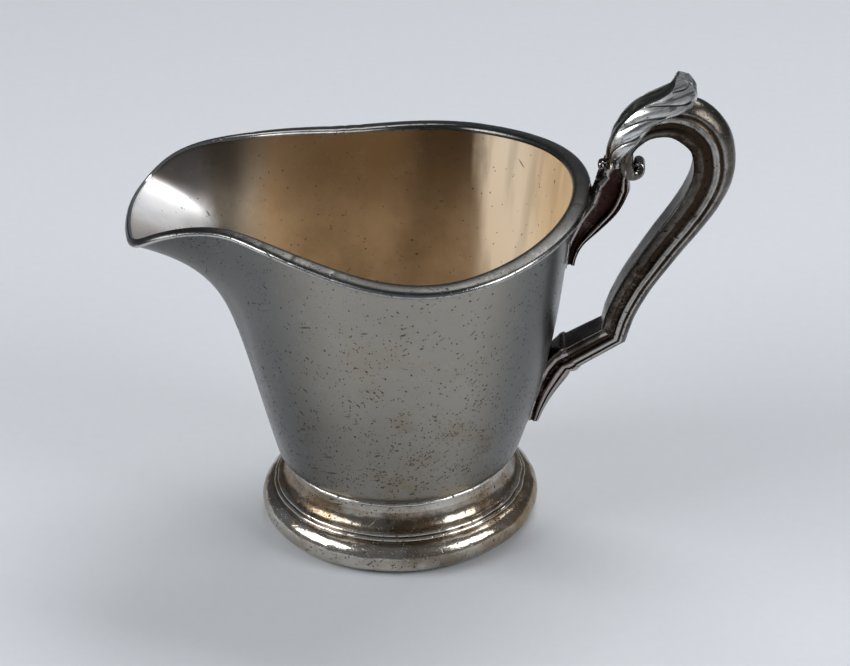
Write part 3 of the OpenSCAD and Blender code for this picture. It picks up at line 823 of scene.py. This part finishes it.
# The leaf: its ridge and its margin on one side, each [x, half width, z]
LEAF_RIDGE = [(45.4, 1.9, 83.6), (45.3, 2.6, 86.4), (45.9, 2.95, 89.4), (47.4, 3.05, 92.3), (49.8, 3.05, 95.2),
              (52.6, 3.05, 97.3), (55.5, 2.95, 98.7), (57.6, 2.65, 100.1), (58.45, 2.1, 101.5),
              (58.75, 1.6, 102.6), (59.3, 1.25, 103.25)]
LEAF_MARGIN = [(46.4, 2.9, 83.0), (46.9, 3.9, 85.2), (48.3, 4.5, 87.1), (50.2, 4.75, 89.3), (52.1, 4.8, 91.7),
               (54.2, 4.8, 93.9), (57.0, 4.6, 95.4), (59.9, 4.1, 96.4), (62.0, 3.4, 98.2), (62.5, 2.8, 100.2),
               (61.4, 2.0, 102.3)]
FLANK = np.linspace(0, 1, 30)[::-1]
TROUGH = np.linspace(1, 0, 12)[1:]
LOBES, LOBE_SLANT, LOBE_START, LOBE_RISE, LOBE_ROUND = 4.6, 1.5, 0.28, 0.52, 0.55
FLANK_BELLY, TROUGH_DEPTH = 0.45, 0.85
# The two points tucked under the margin, and how far the flank swells sideways and outwards
TUCK_UNDER, TUCK_EDGE = np.array([0.5, 0, -0.5]), np.array([0.12, -0.25, -0.3])
TUCK_IN, SWELL_SIDE, SWELL_OUT = 0.225, 0.72, 0.55


def leaf_ring(ridge, margin, out, along):
    """One ring of the leaf: from under its margin up the veined flank, across the trough, and
    the mirror of that. along is 0 at the foot and 1 at the tip."""
    swell = SWELL_SIDE * np.array([0, 1, 0]) + SWELL_OUT * out
    side = [margin * [1, 1 - TUCK_IN, 1] + TUCK_UNDER, margin + TUCK_EDGE]
    calm = math.sin(math.pi * min(1, along * 1.02)) ** 0.5
    for f in FLANK:
        belly = math.sin(math.pi * f) * FLANK_BELLY
        lobe = abs(math.cos(math.pi * (LOBES * along - LOBE_SLANT * f + LOBE_START))) ** LOBE_ROUND
        vein = LOBE_RISE * (lobe - 0.55) * math.sin(math.pi * (0.10 + 0.86 * f)) ** 0.6
        side.append(mix(ridge, margin, f) + (belly + vein) * calm * swell)
    deepest = TROUGH_DEPTH * math.sin(math.pi * along ** 0.8) ** 0.7
    for y in TROUGH:
        drop = deepest * (0.5 + 0.5 * math.cos(math.pi * y))
        side.append(ridge * [1, y, 1] - drop * out)
    side = np.array(side)
    return np.vstack([side, (side * [1, -1, 1])[::-1][1:]])


def leaf_shade(along):
    """How far each point of a ring of the leaf is kept from rubbing: tarnish at the margin, less on
    the flank so that its lobes show bright, partly wear and partly painted highlight, and painted
    shade in the trough and at the leaf's foot.
    """
    # partly wear and partly painted highlight on the flank's lobes; painted shade over the leaf's foot
    flank = np.interp(FLANK, [0, 0.06, 0.75, 1], [0.0, -0.3, -0.1, 0.8]) + 1.3 * (along < 0.1)
    # painted shade in the trough
    kept = np.concatenate([[0.8, 0.8], flank, np.interp(TROUGH, [0.85, 1], [1.1, 0.3])])
    return np.concatenate([kept, kept[::-1][1:]])


def make_leaf():
    """A leaf that lies over the arch: veined flanks, a smooth trough between its ridges, and an
    upright tip."""
    ridge, margin = catmull(LEAF_RIDGE, 14), catmull(LEAF_MARGIN, 14)
    last = len(ridge) - 1
    rings, shade = [], []
    for i in range(last + 1):
        ahead = unit(ridge[min(i + 1, last)] - ridge[max(i - 1, 0)])
        out = unit(np.array([-ahead[2], 0, ahead[0]]))
        rings.append(leaf_ring(ridge[i], margin[i], out, i / last))
        shade.append(leaf_shade(i / last))
    mesh_piece("thumb_leaf", loft(np.array(rings)), [LEAF], ["handle_leaf"], 30,
               shade=np.concatenate(shade))


STRUT = [(37.0, 60.3, 2.4, 5.6), (37.5, 63.0, 2.7, 6.8), (38.7, 66.4, 3.6, 8.2), (41.4, 70.4, 5.5, 8.3),
         (44.7, 74.7, 6.5, 7.7), (46.3, 78.8, 7.0, 7.6)]
# From the face towards the bowl, which is dished, to the ribbed outer edge
STRUT_SECTION = [(-0.34, 0.0), (-0.36, 0.30), (-0.42, 0.62), (-0.50, 0.84), (-0.48, 0.95), (-0.40, 1.0),
                 (-0.30, 0.96), (-0.16, 0.84), (0.0, 0.76), (0.12, 0.76), (0.20, 0.84), (0.255, 0.91),
                 (0.30, 0.90), (0.335, 0.82), (0.37, 0.80), (0.41, 0.84), (0.45, 0.78), (0.48, 0.60),
                 (0.50, 0.34), (0.50, 0.0)]
TONGUE = [(29.3, 22.4, 2.6, 5.6), (30.3, 26.1, 3.7, 6.8), (31.8, 30.3, 5.3, 7.7), (34.0, 34.7, 6.7, 8.5)]
# The collar that takes the scroll's end: shares of its height below the end and of its added width
COLLAR_ROWS = ((1.6, -0.2), (1.0, 0.7), (0.75, 1.0), (0.3, 1.0), (0.0, 0.6))
COLLAR_HEIGHT, COLLAR_WIDER = 1.6, 0.8


def collar(end, inward):
    """Path rows of the collar at the scroll's end, where inward is the scroll's next row."""
    way = unit(np.array(inward[:2]) - np.array(end[:2]))
    rows = []
    for below, wider in COLLAR_ROWS:
        x, z = np.array(end[:2]) - below * COLLAR_HEIGHT * way
        rows.append((x, z, end[2] + COLLAR_WIDER * wider, end[3] + COLLAR_WIDER * wider))
    return np.array(rows)


def sit_on_wall(rings):
    """Keeps a bracket's hidden points inside the wall's thickness, where they would pass right
    through it."""
    wall_reach, sunk = 44, 0.6
    flat = rings.reshape(-1, 3)
    for p in flat:
        if p[0] > wall_reach:
            continue
        a = math.degrees(math.atan2(-p[1], -p[0])) % 360
        radius = wall_radius(a, p[2], 240) - sunk
        own = math.hypot(p[0], p[1])
        if own < radius:
            p[:2] *= radius / own
    return flat.reshape(rings.shape)


def make_brackets():
    """The bracket up to the scroll's curl and the tongue out to its arm."""
    bar = catmull(BAR, 3)
    top = np.vstack([catmull(STRUT, 10), collar(bar[0], bar[1])])
    rings = sit_on_wall(casting_rings(top, finer(STRUT_SECTION, 2), -1))
    mesh_piece("strut_bracket", loft(rings), [BRACKET], ["upper_bracket"], 34)
    low = np.vstack([catmull(TONGUE, 12), collar(ARM_END, ELBOW)])
    rings = sit_on_wall(casting_rings(low, finer(BAR_SECTION, 2), -1))
    mesh_piece("tongue_bracket", loft(rings), [BRACKET], ["lower_bracket"], 34)


def make_knob():
    """The small curl on the upper bracket."""
    middle_x, middle_z, steps = 43.95, 82.8, 34
    turn, share = np.linspace(-60, 250, steps), np.linspace(0, 1, steps)
    radius = mix(0.75, 0.35, share)
    path = np.stack([middle_x - radius * cosd(turn), middle_z + radius * sind(turn),
                     mix(0.9, 0.6, share), mix(2.9, 1.6, share)], -1)
    angles = np.linspace(-90, 90, 11)
    half = np.stack([0.5 * sind(angles), np.abs(cosd(angles)).round(6) ** 0.6], -1)
    rings = casting_rings(path, half)
    mesh_piece("bracket_curl", loft(rings), [BRACKET], [], 40, shade=even_shade(rings, 1.2))


FILM_T, FILM_SUNK, FILM_WIDER, FILM_WALL_R = 0.32, 0.05, 0.6, 33


def film_ring(z, width, thin):
    """A ring of solder across the wall at one height: its front, then its back."""
    half = width / 2 + FILM_WIDER
    front, back = [], []
    for y in np.linspace(-1, 1, 21) * half:
        a = 180 + math.degrees(math.asin(y / FILM_WALL_R))
        radius = wall_radius(a, z, 160)
        edge = 1 - abs(y) / half
        thick = FILM_T * min(1, 0.25 + edge * 7) * thin
        for side, r in ((front, radius + thick), (back, radius - FILM_SUNK)):
            side.append((-r * cosd(a), -r * sind(a), z))
    return front + back[::-1]


def make_films():
    """Solder that shows round the brackets' feet, thinner at its two ends."""
    for name, path, node_name in (("strut_solder", STRUT[:3], "upper_solder"),
                                  ("tongue_solder", TONGUE, "lower_solder")):
        rows = catmull(path, 10)[:, [1, 3]]
        rings = [film_ring(rows[0, 0] - 0.6, rows[0, 1] - 1.0, 0.35)]
        rings += [film_ring(z, width, 1) for z, width in rows]
        rings.append(film_ring(rows[-1, 0] + 0.7, rows[-1, 1] - 2.6, 0.2))
        mesh_piece(name, loft(np.array(rings)), [SOLDER], [node_name], 60)


make_bowl()
make_rim()
make_foot()
make_seam()
make_scroll()
make_volute()
make_leaf()
make_brackets()
make_knob()
make_films()


# --------------------------------------------------- floor, light and camera
def pale_floor():
    """A level sheet that sweeps up behind the object, in metres."""
    front, back, side, bend, top = -1.6, 0.9, 2.2, 0.5, 1.6
    material = bpy.data.materials.new("pale floor")
    material.use_nodes = True
    tree = material.node_tree
    shader = tree.nodes["Principled BSDF"].inputs
    fibre = mottle(tree, node(tree, "TexCoord").outputs["Object"], 420.0, 4.0)
    put(tree, shader["Base Color"], tint(tree, fibre, (0.52, 0.54, 0.57, 1), (0.55, 0.57, 0.60, 1)))
    put(tree, shader["Roughness"], 0.85)
    put(tree, shader["Specular IOR Level"], 0.2)
    outline = [(front, 0.0), (back, 0.0)]
    outline += [(back + bend * math.sin(v), bend - bend * math.cos(v)) for v in np.linspace(0.08, 1.5, 16)]
    outline += [(back + bend, top)]
    k = len(outline)
    mesh = bpy.data.meshes.new("floor")
    mesh.from_pydata([(x, y, z) for x in (-side, side) for y, z in outline], [],
                     [(i, i + 1, k + i + 1, k + i) for i in range(k - 1)])
    mesh.materials.append(material)
    mesh.shade_smooth()
    floor = bpy.data.objects.new("floor", mesh)
    bpy.context.scene.collection.objects.link(floor)


def lamp(name, place, size, power, aim):
    """A rectangular softbox, in metres and watts."""
    light = bpy.data.lights.new(name, "AREA")
    light.shape = "RECTANGLE"
    light.size, light.size_y = size
    light.energy = power
    made = bpy.data.objects.new(name, light)
    made.location = place
    made.rotation_euler = (Vector(aim) - Vector(place)).to_track_quat("-Z", "Y").to_euler()
    bpy.context.scene.collection.objects.link(made)


def studio():
    """A dim room and three softboxes."""
    world = bpy.data.worlds.new("studio")
    bpy.context.scene.world = world
    world.use_nodes = True
    room = world.node_tree.nodes["Background"].inputs
    room["Color"].default_value = (0.50, 0.53, 0.58, 1)
    room["Strength"].default_value = 0.29
    lamp("overhead softbox", (0.20, 0.34, 0.75), (0.55, 0.36), 4.8, aim=(0, -0.30, 0))
    lamp("left softbox", (-0.62, -0.22, 0.47), (0.52, 0.38), 4.4, aim=(0, -0.14, 0))
    lamp("right softbox", (0.62, -0.30, 0.45), (0.42, 0.36), 3.2, aim=(0, -0.14, 0))


# The camera, in degrees, millimetres and photo pixels
AZIMUTH, ELEVATION, ROLL = 3.0, 29.451, 1.465
LOOK_AT, DISTANCE, SHIFT_RIGHT, SHIFT_DOWN = (0, 0, 50.0), 700.0, 6.433, 6.413
FOCAL_PIXELS, PHOTO_PIXELS, SENSOR = 3303.56, 850, 36.0


def camera():
    """The photo's point of view."""
    az, el, roll = np.radians([AZIMUTH, ELEVATION, ROLL])
    back = np.array([math.sin(az) * math.cos(el), -math.cos(az) * math.cos(el), math.sin(el)])
    right = np.array([math.cos(az), math.sin(az), 0.0])
    up = np.array([-math.sin(az) * math.sin(el), math.cos(az) * math.sin(el), math.cos(el)])
    r = math.cos(roll) * right - math.sin(roll) * up
    u = math.sin(roll) * right + math.cos(roll) * up
    place = (np.array(LOOK_AT) + SHIFT_RIGHT * r - SHIFT_DOWN * u + DISTANCE * back) * MM
    data = bpy.data.cameras.new("camera")
    data.sensor_width = SENSOR
    data.lens = FOCAL_PIXELS * SENSOR / PHOTO_PIXELS
    made = bpy.data.objects.new("camera", data)
    turn = Matrix(((r[0], u[0], back[0]), (r[1], u[1], back[1]), (r[2], u[2], back[2]))).to_4x4()
    made.matrix_world = Matrix.Translation(Vector(place)) @ turn
    bpy.context.scene.collection.objects.link(made)
    bpy.context.scene.camera = made


pale_floor()
studio()
camera()
bpy.context.scene.view_settings.view_transform = "Standard"
